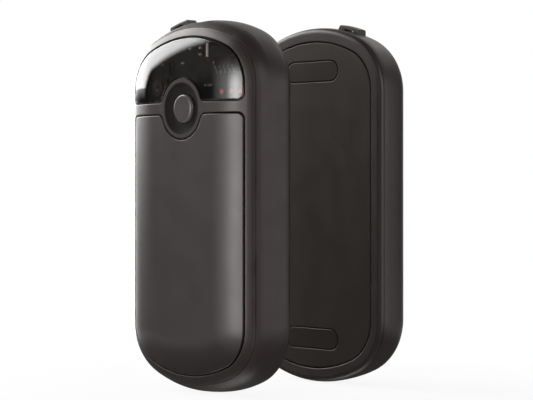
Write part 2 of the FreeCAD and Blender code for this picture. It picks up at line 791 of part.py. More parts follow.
def make_front_bezel(outer):
    """The front frame: rim, cross band, the button's ring and dish, ledge and screw bosses."""
    inner = dome("bezel_hollow", "size.bezel_wall", "place.bezel_floor")
    skin = cut("bezel_skin", outer, inner)
    ring = "place.ring_radius"
    inset = "size.opening_inset"
    corner = "size.opening_corner"
    window_hole = opening("window_hole", inset, "place.band_top", True, ring, corner)
    panel_hole = opening("panel_hole", inset, "place.band_foot", False, ring, corner)
    framed = cut("bezel_framed", cut("bezel_windowed", skin, window_hole), panel_hole)
    ledge = new_body("bezel_ledge")
    sketch = new_sketch(ledge, "XZ_Plane", "place.ledge_rear")
    draw(sketch, *outline("place.ledge_inset"))
    draw(sketch, *outline("(place.ledge_inset + size.ledge_breadth)"))
    pad(ledge, sketch, "size.ledge_thickness")
    boss = peg("button_boss", "place.boss_radius", "place.boss_front - place.boss_rear", "0",
               "place.boss_rear", "place.button_height")
    posts = []
    for side, height in SCREW_SPOTS:
        spot = (f"{side}place.case_screw_reach", "place.chassis_front", height)
        tall = "place.front_parting - place.chassis_front"
        outside = peg("screw_boss", "size.case_boss_radius", tall, *spot)
        bore = peg("screw_bore", "size.case_shank_radius + size.screw_gap", "size.case_shank_length",
                   *spot)
        posts.append(cut("screw_post", outside, bore))
    whole = fuse("bezel_whole", [framed, ledge, boss] + posts)
    sharp = cut("bezel_sharp", whole, make_dish())
    return rounded("left_front_bezel", sharp, "size.edge_round", front_rim(outer))


def make_dish():
    """The round hollow and the hole that the button sits in, turned about the button's axis."""
    body = new_body("button_dish")
    sketch = new_sketch(body, "XY_Plane")
    clear = "place.thickness + size.overrun"
    below = "place.boss_rear - size.overrun"
    draw(sketch, [
        ("0", f"-({below})"),
        ("place.dish_hole_radius", f"-({below})"),
        ("place.dish_hole_radius", "-place.dish_floor"),
        ("place.dish_floor_radius", "-place.dish_floor"),
        ("place.dish_lip_radius", "-(place.thickness + place.dish_lift)"),
        ("place.dish_lip_radius", f"-({clear})"),
        ("0", f"-({clear})"),
    ], {3: ("place.dish_round", -1)})
    spin(body, sketch)
    put(body, "0", "0", "place.button_height")
    return body


def spin(body, sketch):
    """A full turn of a sketch about the depth axis."""
    doc.recompute()
    feature = body.newObject("PartDesign::Revolution", f"{body.Name}_turn")
    feature.Profile = sketch
    feature.ReferenceAxis = (sketch, ["V_Axis"])
    feature.Angle = 360
    return feature


def make_window(outer):
    """The smoked lens, flush with the crowned front."""
    inner = dome("window_hollow", "size.window_wall", "place.bezel_floor")
    skin = cut("window_skin", outer, inner)
    prism = opening("window_piece", "place.piece_inset", "place.band_top + size.panel_gap", True,
                    "place.ring_radius + size.panel_gap", "size.opening_corner - size.panel_gap")
    return rounded("left_window", common("window_sharp", skin, prism), "size.edge_round", front_rim(outer))


def make_front_plate(outer):
    """The satin heat panel, flush with the crowned front."""
    inner = dome("front_plate_hollow", "size.front_plate_wall", "place.bezel_floor")
    skin = cut("front_plate_skin", outer, inner)
    prism = opening("front_plate_piece", "place.piece_inset", "place.band_foot - size.panel_gap", False,
                    "place.ring_radius + size.panel_gap", "size.opening_corner - size.panel_gap")
    sharp = common("front_plate_sharp", skin, prism)
    return rounded("left_front_plate", sharp, "size.edge_round", front_rim(outer))


def make_button_cap():
    """The round button, with the flange that keeps it in and the stem that reaches the switch."""
    body = new_body("left_button_cap")
    sketch = new_sketch(body, "XY_Plane")
    draw(sketch, [
        ("0", "-place.stem_rear"),
        ("size.stem_radius", "-place.stem_rear"),
        ("size.stem_radius", "-place.flange_rear"),
        ("place.cap_flange_radius", "-place.flange_rear"),
        ("place.cap_flange_radius", "-place.flange_front"),
        ("size.cap_radius", "-place.flange_front"),
        ("size.cap_radius", "-(place.cap_front - size.cap_edge)"),
        ("size.cap_radius - size.cap_edge", "-place.cap_front"),
        ("0", "-place.cap_front"),
    ], {6: ("size.cap_edge", -1)})
    spin(body, sketch)
    put(body, "0", "0", "place.button_height")
    return body


def make_switch():
    """The push switch's body, open for its plunger."""
    case = block("switch_case", "size.switch_side", "size.switch_thickness", "size.switch_side", "0",
                 "place.board_front", "place.button_height - size.switch_side / 2")
    well = peg("switch_well", "size.plunger_radius + size.plunger_gap", "size.switch_thickness", "0",
               "place.board_front + size.switch_floor", "place.button_height")
    return cut("left_tact_switch", case, well)


def make_plunger():
    return peg("left_switch_plunger", "size.plunger_radius", "size.plunger_length", "0", "place.plunger_rear",
               "place.button_height")


def make_board():
    """The circuit board, with holes for its screws."""
    body = new_body("left_main_board")
    sketch = new_sketch(body, "XZ_Plane", "place.board_rear")
    draw(sketch, *arch("size.board_inset", "place.board_foot"))
    for side in ("", "-"):
        circle(sketch, "size.board_shank_radius + size.screw_gap", f"{side}place.board_screw_reach",
               "place.board_screw_height")
    pad(body, sketch, "size.board_thickness")
    return body


def make_chips():
    """Controller with its leads, charger chip and power coil."""
    rest = "place.board_front"
    pieces = [
        block("controller", "size.controller_length", "size.controller_thickness",
              "size.controller_breadth", "place.controller_reach", rest, "place.controller_foot"),
        block("coil", "size.coil_side", "size.coil_thickness", "size.coil_side", "-place.coil_reach", rest,
              "place.coil_height - size.coil_side / 2"),
        block("charger", "size.charger_side", "size.charger_thickness", "size.charger_side",
              "-place.charger_reach", rest, "place.charger_foot"),
    ]
    for step in range(-2, 3):
        pieces.append(block("pin", "size.pin_breadth", "size.pin_thickness", "size.pin_length",
                            f"place.controller_reach + {step} * size.pin_pitch", rest,
                            "place.controller_foot - size.pin_length"))
    return group("left_board_chips", pieces)


# Places of the small pale parts, as shares of the board's half width and of the clear height above its foot
PASSIVE_SHARES = [
    (0.105, 0.923),
    (0.105, 0.86),
    (-0.1, 0.919),
    (-0.24, 0.787),
    (0.3, 0.551),
    (0.22, 0.551),
    (-0.2, 0.61),
]


def make_passives():
    pieces = []
    for across_share, up_share in PASSIVE_SHARES:
        pieces.append(block("chip", "size.chip_length", "size.chip_thickness", "size.chip_breadth",
                            f"{across_share} * place.board_half_width", "place.board_front",
                            f"place.board_foot + {up_share} * place.clear_rise"))
    return group("left_board_passives", pieces)


def make_leds():
    lights = []
    for step in range(3):
        lights.append(block("led", "size.led_breadth", "size.led_thickness", "size.led_side",
                            f"place.led_reach - {step} * size.led_pitch", "place.board_front",
                            "place.led_height - size.led_side / 2"))
    return group("left_status_leds", lights)


def make_light_bar():
    return block("left_light_bar", "size.bar_breadth", "size.bar_thickness", "size.bar_length",
                 "size.bar_reach", "place.board_front", "place.bar_foot")


def make_usb_shell():
    """The charging socket's metal shell, closed at its inner end."""
    body = new_body("left_usb_shell")
    section = new_sketch(body, "XY_Plane", "place.usb_foot")
    socket_outline(section, "0")
    pad(body, section, "size.usb_length")
    mouth = new_sketch(body, "XY_Plane", "place.usb_top")
    socket_outline(mouth, "size.usb_wall")
    pocket(body, mouth, "size.usb_length - size.usb_floor")
    return body


def socket_outline(sketch, inset):
    """The charging socket's flat oval, drawn in by an inset."""
    half = f"(size.usb_thickness / 2 - {inset})"
    straight = "(size.usb_width - size.usb_thickness) / 2"
    draw(sketch, [
        (f"-{straight}", f"-(place.usb_mid_depth + {half})"),
        (straight, f"-(place.usb_mid_depth + {half})"),
        (straight, f"-(place.usb_mid_depth - {half})"),
        (f"-{straight}", f"-(place.usb_mid_depth - {half})"),
    ], {1: (half, 1), 3: (half, 1)})


def make_usb_tongue():
    return block("left_usb_tongue", "size.usb_tongue_width", "size.usb_tongue_thickness",
                 "size.usb_tongue_length", "0", "place.usb_mid_depth - size.usb_tongue_thickness / 2",
                 "place.usb_foot + size.usb_floor")


def make_cell():
    """The flat lithium cell, with rounded long edges."""
    raw = block("cell_block", "2 * place.cell_half_width", "place.cell_thickness", "place.cell_length", "0",
                "place.chassis_front", "place.cell_foot")

    def upright(shape, edge):
        return abs(edge.Vertexes[0].Z - edge.Vertexes[1].Z) > value("place.cell_length") / 2

    return rounded("left_battery_cell", raw, "size.cell_round", upright)


def make_films_and_pads():
    """Heating films on both plates, and the foam that presses them on."""
    film_rise = "place.film_top - place.film_foot"
    pad_rise = "place.cell_top - place.film_foot"
    front_film_rise = "place.film_top - place.front_film_foot"
    front_pad_rise = "place.cell_top - place.front_film_foot"
    wide = "2 * place.rear_film_half_width"
    slim = "2 * place.front_film_half_width"
    return [
        block("left_rear_heater", wide, "size.heater_thickness", film_rise, "0", "size.plate_thickness",
              "place.film_foot"),
        block("left_rear_pad", wide, "size.rear_pad_thickness", pad_rise, "0", "place.heater_front",
              "place.film_foot"),
        block("left_front_heater", slim, "size.heater_thickness", front_film_rise, "0", "place.front_film_rear",
              "place.front_film_foot"),
        block("left_front_pad", slim, "size.front_pad_thickness", front_pad_rise, "0", "place.cell_front",
              "place.front_film_foot"),
    ]


def make_thermistor():
    return block("left_thermistor", "size.sensor_length", "size.sensor_thickness", "size.sensor_breadth", "0",
                 "place.front_film_rear - size.sensor_thickness", "place.lead_height - size.sensor_breadth / 2")


def wire(label, route):
    """A round wire along two straight runs, joined by a tangent arc."""
    spots = [Vector(value(x), -value(depth), value(z)) for x, depth, z in route]
    first, corner, last = spots
    bend = value("size.lead_bend")
    into = (corner - first).normalize()
    out = (last - corner).normalize()
    begin = corner - into * bend
    end = corner + out * bend
    centre = corner + (out - into) * bend
    middle = centre + (corner - centre).normalize() * bend
    path = Part.Wire([
        Part.LineSegment(first, begin).toShape(),
        Part.Arc(begin, middle, end).toShape(),
        Part.LineSegment(end, last).toShape(),
    ])
    radius = value("size.lead_radius")
    section = Part.Wire([Part.Circle(first, into, radius).toShape()])
    tube = doc.addObject("Part::Feature", label)
    tube.Shape = path.makePipeShell([section], True, False)
    expected = math.pi * radius ** 2 * path.Length
    if abs(tube.Shape.Volume / expected - 1) > VOLUME_SHARE:
        raise ValueError(f"{label} has the wrong volume")
    return tube


def make_leads():
    """Pairs of wires from the cell and the heating films to the board."""
    top = "place.board_foot + size.lead_landing"
    front_depth = "place.board_front + size.lead_radius + size.lead_seat"
    rear_depth = "place.board_rear - size.lead_radius - size.lead_seat"
    cell_end = "place.board_foot + size.cell_lead_landing"
    # each route has a reach from the middle, then the depth and height of its start, corner and end
    routes = {
        "battery_leads": ("size.cell_lead_reach", [
            ("place.cell_lead_depth", "place.cell_top"),
            ("place.cell_lead_depth", cell_end),
            ("place.board_rear", cell_end),
        ]),
        "front_heater_leads": ("size.lead_reach", [
            ("place.front_film_rear", "place.lead_height"),
            (front_depth, "place.lead_height"),
            (front_depth, top),
        ]),
        "rear_heater_leads": ("size.rear_lead_reach", [
            ("place.heater_front", "place.lead_height"),
            (rear_depth, "place.lead_height"),
            (rear_depth, top),
        ]),
    }
    pairs = []
    for name, (reach, route) in routes.items():
        wires = []
        for side in ("", "-"):
            spots = [(f"{side}{reach}", depth, height) for depth, height in route]
            wires.append(wire(f"{name}_wire", spots))
        pairs.append(group(f"left_{name}", wires))
    return pairs


def make_chassis():
    """The inner carrier: a plate with magnet pockets, screw seats, ribs round the cell and board posts."""
    base = plate("chassis_plate", "place.chassis_inset", "place.chassis_rear", "size.chassis_thickness")
    holes = []
    deep = "size.chassis_thickness + 2 * size.overrun"
    start = "place.chassis_rear - size.overrun"
    for height in MAGNET_HEIGHTS.values():
        holes.append(block("magnet_pocket", "size.magnet_length + 2 * size.fit_gap", deep,
                           "size.magnet_breadth + 2 * size.fit_gap", "0", start,
                           f"{height} - size.magnet_breadth / 2 - size.fit_gap"))
    for side, height in SCREW_SPOTS:
        x = f"{side}place.case_screw_reach"
        holes.append(peg("screw_way", "size.case_shank_radius + size.screw_gap", deep, x, start, height))
        holes.append(taper("screw_seat", "size.case_head_radius + size.screw_gap",
                           "size.case_shank_radius + size.screw_gap", "size.case_head_thickness", x,
                           "place.chassis_rear", height))
    for side in ("", "-"):
        holes.append(peg("lead_way", "size.lead_hole_radius", deep, f"{side}size.rear_lead_reach", start,
                         "place.lead_height"))
    posts = []
    tall = "place.board_rear - place.chassis_front"
    for side in ("", "-"):
        spot = (f"{side}place.board_screw_reach", "place.chassis_front", "place.board_screw_height")
        post = peg("board_post", "size.post_radius", tall, *spot)
        bore = peg("board_bore", "size.board_shank_radius + size.screw_gap", "size.board_shank_length",
                   spot[0], "place.board_rear - size.board_shank_length", spot[2])
        posts.append(cut("board_post_bored", post, bore))
        posts.append(peg("board_prop", "size.post_radius", tall, f"{side}place.prop_reach",
                         "place.chassis_front", "place.prop_height"))
        rib_x = f"{side}(place.cell_half_width + size.fit_gap + size.rib_thickness / 2)"
        posts.append(block("side_rib", "size.rib_thickness", "size.rib_rise", "place.rib_top - place.rib_foot",
                           rib_x, "place.chassis_front", "place.rib_foot"))
    posts.append(block("foot_rib", "size.foot_rib_length", "size.rib_rise", "size.rib_thickness", "0",
                       "place.chassis_front", "place.cell_foot - size.fit_gap - size.rib_thickness"))
    return fuse("left_chassis", [cut("chassis_holed", base, fuse("chassis_holes", holes))] + posts)


def make_screws():
    """Countersunk case screws, driven from the mating side, and pan-head board screws."""
    case_screws = []
    for side, height in SCREW_SPOTS:
        x = f"{side}place.case_screw_reach"
        head = taper("case_head", "size.case_head_radius", "size.case_shank_radius",
                     "size.case_head_thickness", x, "place.chassis_rear", height)
        shank = peg("case_shank", "size.case_shank_radius", "size.case_shank_length", x,
                    "place.chassis_rear", height)
        case_screws.append(fuse("case_screw", [head, shank]))
    board_screws = []
    for side in ("", "-"):
        x = f"{side}place.board_screw_reach"
        head = peg("board_head", "size.board_head_radius", "size.board_head_thickness", x, "place.board_front",
                   "place.board_screw_height")
        shank = peg("board_shank", "size.board_shank_radius", "size.board_shank_length", x,
                    "place.board_front - size.board_shank_length", "place.board_screw_height")
        board_screws.append(fuse("board_screw", [head, shank]))
    return [group("left_case_screws", case_screws), group("left_board_screws", board_screws)]


def twin(piece):
    """The right unit's copy of a piece: turned half round and set across the gap."""
    copy = doc.addObject("Part::Compound", piece.Label.replace("left_", "right_"))
    copy.Label = piece.Label.replace("left_", "right_")
    copy.Links = [piece]
    copy.Placement = FreeCAD.Placement(Vector(), FreeCAD.Rotation(Vector(0, 0, 1), 180))
    copy.setExpression("Placement.Base.y", "size.pair_gap")
    return copy


doc = FreeCAD.newDocument("hand_warmer_pair")
size = new_sheet("size", {name: str(number) for name, number in SIZES.items()})
place = new_sheet("place", {name: f"={formula}" for name, formula in PLACES.items()})

front_form = dome("front_form", "0", "place.front_parting")
pieces = [
    make_shell(),
    make_rear_frame(),
    make_back_plate(),
    make_magnet_covers(),
    make_magnets(),
    make_front_bezel(front_form),
    make_window(front_form),
    make_front_plate(front_form),
    make_button_cap(),
    make_plunger(),
    make_switch(),
    make_board(),
    make_chips(),
    make_passives(),
    make_leds(),
    make_light_bar(),
    make_usb_shell(),
    make_usb_tongue(),
    make_cell(),
    make_thermistor(),
    make_chassis(),
]
pieces += make_films_and_pads()
pieces += make_leads()
pieces += make_screws()
doc.recompute()
pieces += [twin(piece) for piece in pieces]
doc.recompute()

# Nothing is written unless every object is sound
for thing in doc.Objects:
    if "Invalid" in thing.State or "Error" in thing.State:
        raise ValueError(f"{thing.Label} failed: {thing.State}")
for piece in pieces:
    if piece.Shape.isNull() or not piece.Shape.isValid():
        raise ValueError(f"{piece.Label} has no sound shape")
print("thickness", round(value("place.thickness"), 3), "flat from", round(value("place.face_x"), 3))
os.makedirs("parts", exist_ok=True)
for piece in pieces:
    piece.Shape.exportStep(f"parts/{piece.Label}.step")
print(len(pieces), "pieces written")
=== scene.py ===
"""The looks of a magnet-joined pair of hand warmers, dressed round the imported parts.

Lengths are metres in the frame of the parts. +Z runs up a unit. The left unit's mating face lies in the plane
Y = 0, and the right unit stands on the +Y side, turned half round. A unit's front is the side of its window.
"""
import bmesh
import bpy
import math
from mathutils import Matrix, Vector


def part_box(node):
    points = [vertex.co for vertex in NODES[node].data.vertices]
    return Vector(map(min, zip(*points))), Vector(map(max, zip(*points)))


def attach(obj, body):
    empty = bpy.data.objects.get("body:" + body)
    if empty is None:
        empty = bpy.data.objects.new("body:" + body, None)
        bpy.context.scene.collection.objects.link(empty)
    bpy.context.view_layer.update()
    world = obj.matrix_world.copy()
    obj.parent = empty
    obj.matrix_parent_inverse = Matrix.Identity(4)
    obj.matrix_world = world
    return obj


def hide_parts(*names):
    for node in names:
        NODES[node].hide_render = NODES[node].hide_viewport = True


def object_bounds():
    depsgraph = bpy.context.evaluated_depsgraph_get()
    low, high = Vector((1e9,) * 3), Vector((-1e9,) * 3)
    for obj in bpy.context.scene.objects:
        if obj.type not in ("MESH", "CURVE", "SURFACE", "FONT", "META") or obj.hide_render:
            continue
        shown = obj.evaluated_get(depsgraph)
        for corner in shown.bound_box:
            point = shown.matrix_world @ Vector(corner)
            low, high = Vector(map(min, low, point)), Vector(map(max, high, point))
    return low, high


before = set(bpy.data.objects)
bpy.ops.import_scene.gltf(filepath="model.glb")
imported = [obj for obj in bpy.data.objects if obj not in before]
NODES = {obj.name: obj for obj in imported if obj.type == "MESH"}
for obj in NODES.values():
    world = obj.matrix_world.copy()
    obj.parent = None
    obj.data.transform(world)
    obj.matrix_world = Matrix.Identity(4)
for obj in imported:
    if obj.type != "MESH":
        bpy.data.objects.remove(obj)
CAD_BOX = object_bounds()
MIDDLE = (CAD_BOX[0] + CAD_BOX[1]) / 2
SIDES = ("left", "right")
# The right unit is the left one turned half round and set back by this length
PAIR_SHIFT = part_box("left_shell")[0].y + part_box("right_shell")[1].y
HALF_TURN = Matrix.Translation((0.0, PAIR_SHIFT, 0.0)) @ Matrix.Rotation(math.pi, 4, "Z")
# Both buttons lie on the line X = 0 at this height
BUTTON_HEIGHT = sum(corner.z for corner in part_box("left_button_cap")) / 2

# The camera stands level, turned about the upright axis
CAMERA_SPOT = Vector((0.37493, -0.33271, 0.00641))
CAMERA_TURN = 47.16
CAMERA_LENS = 130.16
CAMERA_SENSOR = 36.0
CAMERA_SHIFT_SHARE = -0.03523
CAMERA_NEAR = 0.01

# Linear colours
WHITE = (1.0, 1.0, 1.0)
BLACK = (0.0, 0.0, 0.0)
FLOOR_COLOUR = (0.80, 0.80, 0.80)
CASE_COLOUR = (0.0213, 0.0165, 0.0152)
PANEL_COLOUR = (0.0152, 0.0116, 0.0106)
BACK_COLOUR = (0.0165, 0.0110, 0.0062)
INSET_COLOUR = (0.0153, 0.0101, 0.0057)
# Painted shade on the ring round a button and in its dish
RING_SHADE_COLOUR = (0.0130, 0.0101, 0.0093)
DISH_SHADE_COLOUR = (0.0060, 0.0047, 0.0044)
BUTTON_COLOUR = (0.0460, 0.0405, 0.0388)
# A painted highlight along the button's rounded rim
BUTTON_RIM_HIGHLIGHT_COLOUR = (0.085, 0.078, 0.075)
# The pale tone of edges that are partly rubbed and partly given a painted highlight
WORN_HIGHLIT_EDGE_COLOUR = (0.200, 0.187, 0.180)
GLOSS_TINT = (1.0, 0.93, 0.91)
LENS_TINT = (0.40, 0.37, 0.355)
MASK_COLOUR = (0.0080, 0.0100, 0.0091)
TRACE_COLOUR = (0.0267, 0.0347, 0.0307)
GOLD_COLOUR = (0.827, 0.573, 0.227)
TIN_COLOUR = (0.693, 0.693, 0.707)
STEEL_COLOUR = (0.613, 0.613, 0.627)
BLACKENED_COLOUR = (0.080, 0.077, 0.077)
COPPER_COLOUR = (0.667, 0.267, 0.113)
FOIL_COLOUR = (0.560, 0.573, 0.600)
CHIP_COLOUR = (0.0087, 0.0087, 0.0093)
CERAMIC_COLOUR = (0.693, 0.627, 0.533)
FERRITE_COLOUR = (0.0400, 0.0400, 0.0427)
PACKAGE_COLOUR = (0.067, 0.061, 0.060)
LEAD_COLOUR = (0.267, 0.267, 0.267)
NYLON_COLOUR = (0.400, 0.373, 0.347)
TONGUE_COLOUR = (0.0160, 0.0160, 0.0173)
CHASSIS_COLOUR = (0.0293, 0.0293, 0.0307)
RED_WIRE = (0.467, 0.0267, 0.0240)
PALE_WIRE = (0.733, 0.720, 0.693)
DARK_WIRE = (0.0160, 0.0160, 0.0160)
FOAM_COLOUR = (0.213, 0.213, 0.227)
FILM_COLOUR = (0.480, 0.200, 0.0400)
BEAD_COLOUR = (0.0267, 0.0267, 0.067)
RED_LIGHT = (1.0, 0.060, 0.065)
WARM_LIGHT = (1.0, 0.42, 0.40)
WHITE_LIGHT = (1.0, 0.97, 0.94)

# Sizes of the spots of grain, clouds, smudges and scratches, and the depths of the reliefs
GRAIN_SIZE = 0.00016
GRAIN_DEPTH = 0.000004
SATIN_SIZE = 0.00008
SATIN_DEPTH = 0.0000015
FOAM_SIZE = 0.0007
CLOUD_SIZE = 0.011
SMUDGE_SIZE = 0.006
SCRATCH_SIZE = 0.0007
# How finely each kind of noise is broken up
WAVE_DETAIL = 1.0
GRAIN_DETAIL = 2.0
FLECK_DETAIL = 3.0
CLOUD_DETAIL = 5.0
SMUDGE_DETAIL = 6.0
# The part of a noise that is stretched over a whole range
CLOUD_RANGE = (0.3, 0.7)
# By which share a colour varies either way
CASE_MOTTLE = 0.07
SATIN_MOTTLE = 0.05
METAL_MOTTLE = 0.12
PLAIN_MOTTLE = 0.10
LENS_MOTTLE = 0.03
LIGHT_MOTTLE = 0.05
FLOOR_MOTTLE = 0.01
# Edges lightened partly by rubbed wear and partly as a painted highlight: the reach of an edge, the cosines
# of its turn and the breaks in its line
WORN_HIGHLIT_EDGE_RADIUS = 0.00035
WORN_HIGHLIT_EDGE_SAMPLES = 4
WORN_HIGHLIT_EDGE_COSINES = (0.80, 0.985)
BREAK_SHARES = (0.15, 1.0)
BREAK_RANGE = (0.35, 0.65)
# Shares of the edge lightening, which is partly wear and partly painted highlight
CASE_WEAR_AND_HIGHLIGHT = 0.2
CHASSIS_WEAR_AND_HIGHLIGHT = 0.1

# Gloss and the other facts of single finishes
PLAIN_SPECULAR = 0.5
COAT_ROUGHNESS = 0.24
# Between these radii from the button's middle the face turns to the rim's painted highlight
BUTTON_RIM_HIGHLIGHT_RADII = (0.0031, 0.0036)
# Radius, colour and roughness of the ring round a button and of the dish; their darker colours are painted
# shade
DULL_SHADED_ZONES = ((0.0079, RING_SHADE_COLOUR, 0.72), (0.00662, DISH_SHADE_COLOUR, 0.90))
ZONE_EDGE = 0.00018
LENS_IOR = 1.54
LENS_ROUGHNESS = (0.010, 0.022)
BOARD_SPECULAR = 0.6
BOARD_ROUGHNESS = (0.28, 0.42)
TRACK_SCALE = 420.0
TRACK_BREADTH = 0.035
TEST_PAD_SHARE = 0.7
TEST_PAD_DISTANCES = (0.05, 0.07)
LIGHT_BLEND = 0.5
LIGHT_CLOUD = 0.15
LIGHT_ROUGHNESS = (0.20, 0.35)

# Small parts on the board and in the socket
MERGE_REACH = 0.00001
SORT_DIGITS = 6
CHIP_ROUNDING = 0.00012
CHIP_LIFT = 0.0001
LEAD_ROUNDING = 0.00003
ROUNDING_STEPS = 2
ROUND_PROFILE = 0.5
DOT_RADIUS = 0.00025
DOT_HEIGHT = 0.00002
DOT_INSET = 0.0006
PAD_COUNT = 5
PAD_BREADTH = 0.00032
PAD_REACH = 0.00006
PAD_HEIGHT = 0.00022
PAD_PITCH = 0.0006
TERMINAL_SHARE = 0.26
TERMINAL_PROUD = 0.00003
FINGER_COUNT = 12
FINGER_PITCH = 0.0005
FINGER_BREADTH = 0.00026
FINGER_PROUD = 0.00004
FINGER_SHARES = (0.25, 0.92)
TURNED_CORNERS = 32
# A bent lead's path, as shares of its length from the chip outwards and of the chip's height from the board
LEAD_SHARES = ((0.0, 0.42), (0.16, 0.42), (0.30, 0.36), (0.42, 0.13), (0.56, 0.06), (1.0, 0.06))
LEAD_THICKNESS_SHARE = 0.10
# Heights of a light's package and of the coil's base, as shares of the whole height
PACKAGE_SHARE = 0.5
COIL_BASE_SHARE = 0.42
# Turned outlines, as shares of half the breadth and of the height
DOME_SHARES = ((0.80, 0.48), (0.78, 0.62), (0.66, 0.80), (0.42, 0.94), (0.0, 1.0))
WINDING_SHARES = ((0.72, 0.42), (0.86, 0.46), (0.90, 0.58), (0.86, 0.72), (0.72, 0.76))
FLANGE_SHARES = ((0.72, 0.74), (0.92, 0.75), (0.94, 0.80), (0.94, 0.95), (0.90, 1.0),
                 (0.30, 1.0), (0.26, 0.96), (0.0, 0.96))

# Radiance of what the rays meet
FILL_GLOW = 0.14
DIM_GLOW = 0.06
WHITE_GLOW = 1.0
# A mirrored direction turns from the dim studio to the white backdrop between these cosines to the view
BACKDROP_COSINES = (0.62, 1.00)
FLOOR_RADIUS = 0.12
# Between these radii the floor's shadow fades out for the eye, and its image in a mirror, dimmed under the
# pair as a painted shadow, turns white
FLOOR_ZONE = (0.06, 0.105)
FLOOR_GLOW_SHARE = 0.90
FLOOR_MIRROR_SHADOW_GLOW = 0.10
FLOOR_ROUGHNESS = 0.9
FLOOR_CORNERS = 96

# Soft lamps, aimed at the middle of the pair. The turn is counted from -Y towards +X and the rise from the
# level, in degrees. Soft gives the breadth of the faded edges across and up. The lean carries a lamp's sides
# over as they rise. The table lamp shines through the floor from below.
LAMPS = {
    "key": dict(turn=-79.0, rise=27.0, distance=1.0, width=0.83, height=0.86,
                soft=(0.15, 0.04), glow=7.7, lean=0.36),
    "strip": dict(turn=-6.0, rise=1.0, distance=0.6, width=0.30, height=0.58,
                  soft=(0.15, 0.25), glow=9.3),
    "haze": dict(turn=-8.0, rise=6.0, distance=0.6, width=0.86, height=0.76,
                 soft=(0.43, 0.38), glow=2.55),
    "rim": dict(turn=-112.5, rise=1.0, distance=0.8, width=0.44, height=0.70,
                soft=(0.12, 0.18), glow=8.4),
    "side": dict(turn=103.0, rise=5.0, distance=0.8, width=1.55, height=0.66,
                 soft=(0.20, 0.20), glow=1.85),
    "shoulder": dict(turn=70.0, rise=23.0, distance=0.8, width=0.34, height=0.44,
                     soft=(0.14, 0.18), glow=6.0),
    "back": dict(turn=180.0, rise=46.0, distance=0.8, width=1.0, height=0.6,
                 soft=(0.25, 0.20), glow=1.6),
    "table": dict(turn=-100.0, rise=-77.0, distance=0.3, width=0.20, height=0.20,
                  soft=(0.08, 0.08), glow=3.4),
}


def opaque(colour):
    """A colour as a colour socket takes it."""
    return (*colour, 1.0)


class Nodes:
    """Short calls for the nodes of one tree."""

    def __init__(self, tree):
        self.tree = tree

    def add(self, kind, inputs=None, **settings):
        """A node with its settings, whose inputs are numbers or the outputs of other nodes."""
        node = self.tree.nodes.new(kind)
        for name, setting in settings.items():
            setattr(node, name, setting)
        for name, given in (inputs or {}).items():
            self.give(node.inputs[name], given)
        return node

    def give(self, socket, given):
        if isinstance(given, bpy.types.NodeSocket):
            self.tree.links.new(given, socket)
        else:
            socket.default_value = given

    def reckon(self, operation, first, second=0.0):
        """One step of arithmetic on two values."""
        return self.add("ShaderNodeMath", {0: first, 1: second}, operation=operation).outputs[0]

    def spread(self, given, low, high, start=0.0, end=1.0, ramp="LINEAR"):
        """Values from start to end, mapped to low to high."""
        inputs = {"Value": given, "From Min": start, "From Max": end, "To Min": low, "To Max": high}
        return self.add("ShaderNodeMapRange", inputs, interpolation_type=ramp).outputs["Result"]

    def between(self, share, first, second):
        """A value between two values."""
        node = self.add("ShaderNodeMix", data_type="FLOAT")
        for index, given in ((0, share), (2, first), (3, second)):
            self.give(node.inputs[index], given)
        return node.outputs[0]

    def rays(self, *names):
        """1 for a ray of any of the named kinds."""
        path = self.add("ShaderNodeLightPath").outputs
        total = path[names[0]]
        for name in names[1:]:
            total = self.reckon("MAXIMUM", total, path[name])
        return total


